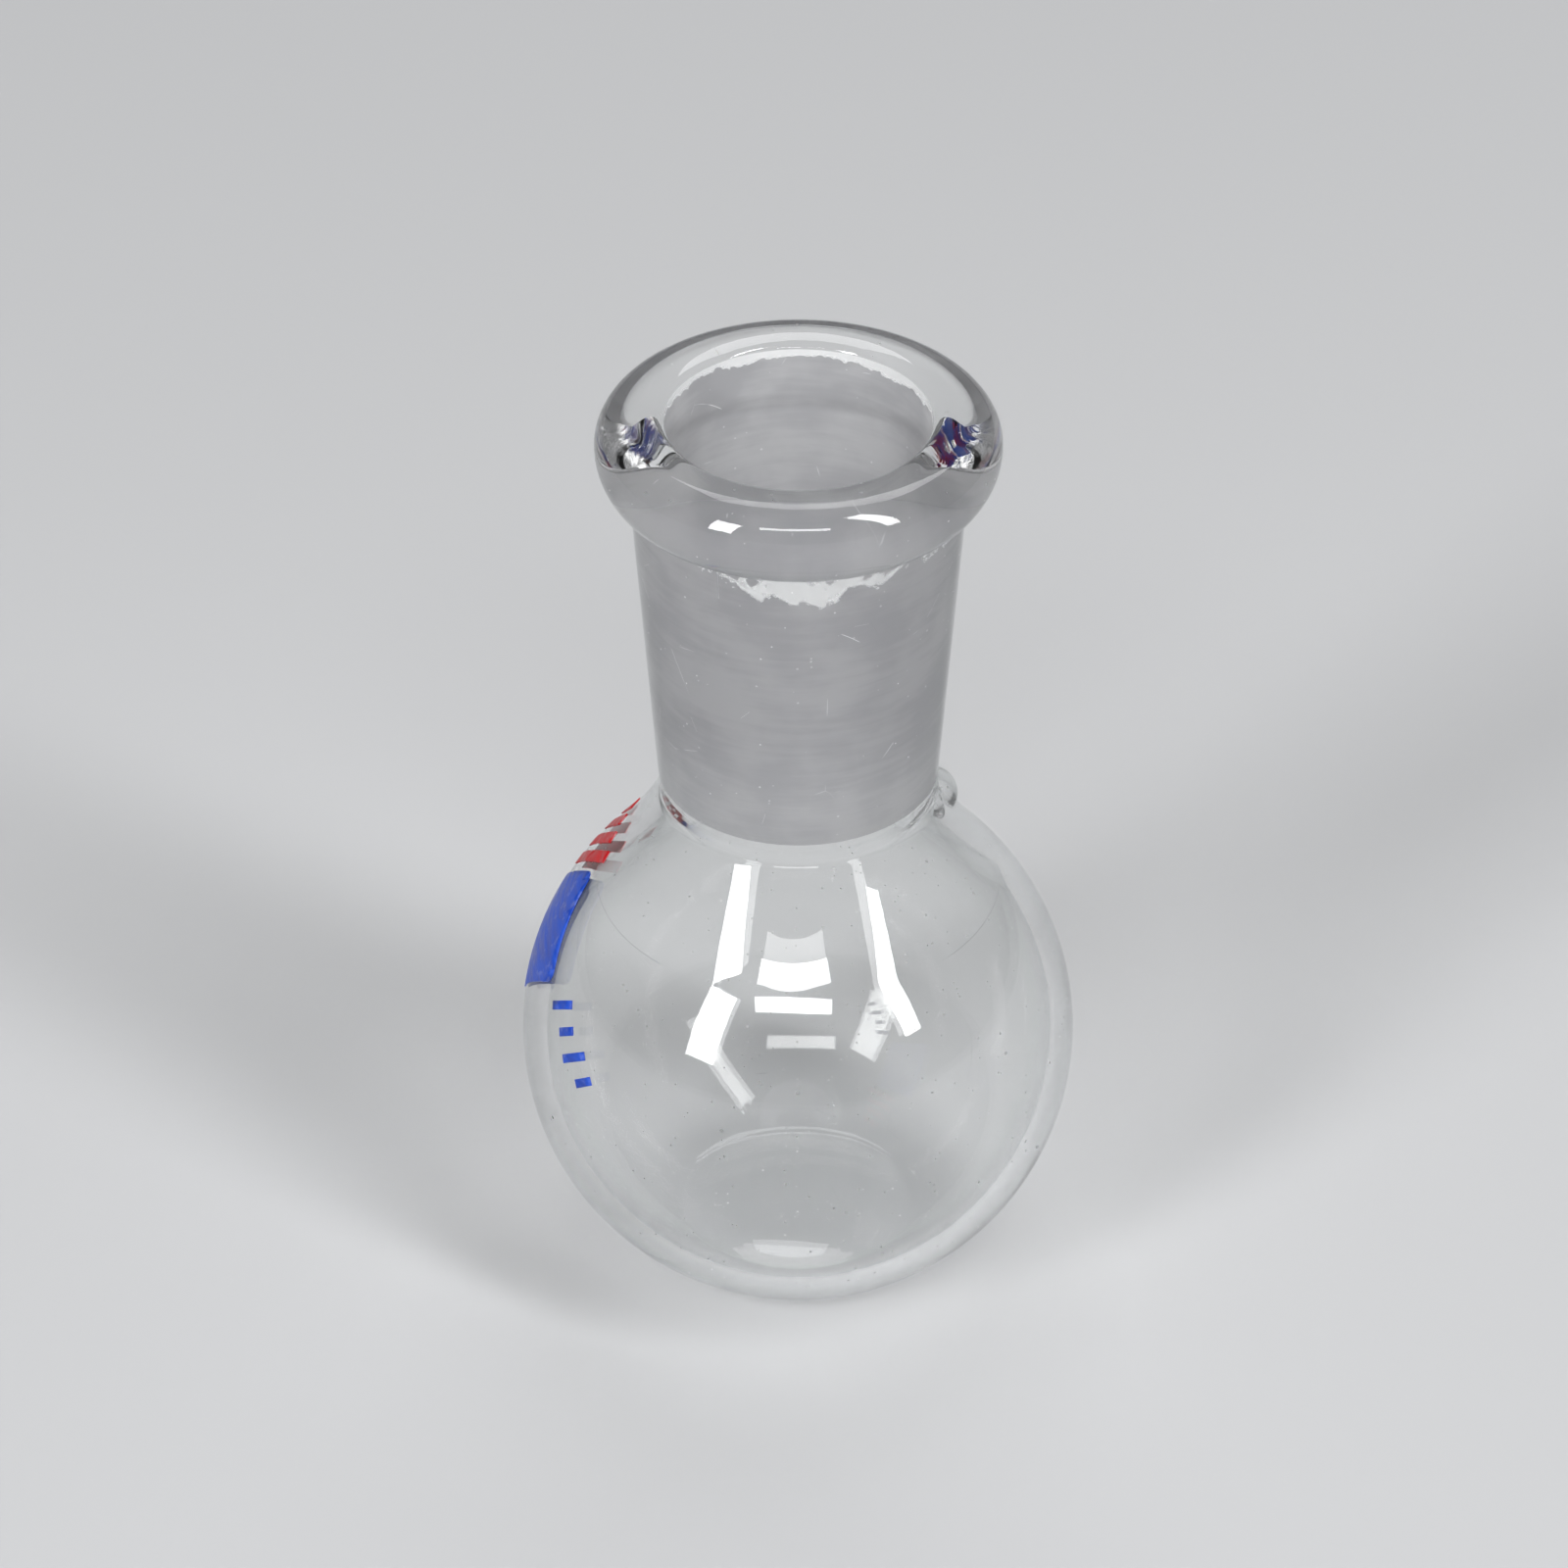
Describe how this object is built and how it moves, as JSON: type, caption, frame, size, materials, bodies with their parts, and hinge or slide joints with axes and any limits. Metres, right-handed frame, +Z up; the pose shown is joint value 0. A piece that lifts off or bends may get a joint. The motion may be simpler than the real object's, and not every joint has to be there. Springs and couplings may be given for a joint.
{
  "type": "round bottom flask",
  "caption": "Small clear glass flask with a round bulb on a slightly flattened foot, a tapered neck with a ground socket bore, a rounded rim and fired-on marks.",
  "frame": {"origin": "centre of the flattened foot, on the surface that the flask stands on", "axes": "+Z up, out of the mouth along the neck; the enamel marks face -X; -Y is the side seen first"},
  "size_m": [0.0308, 0.0308, 0.054],
  "materials": {
    "clear_glass": "clear, fire-polished",
    "ground_glass": "clear outside, finely ground bore",
    "enamel_red": "fired-on enamel",
    "enamel_blue": "fired-on enamel"
  },
  "bodies": {
    "root": {"bulb": "clear_glass", "socket": "ground_glass", "rim": "clear_glass", "seal": "clear_glass", "seal_drop": "clear_glass", "enamel_bars": "enamel_red", "enamel_panel": "enamel_blue", "enamel_ticks": "enamel_blue"}
  },
  "joints": []
}
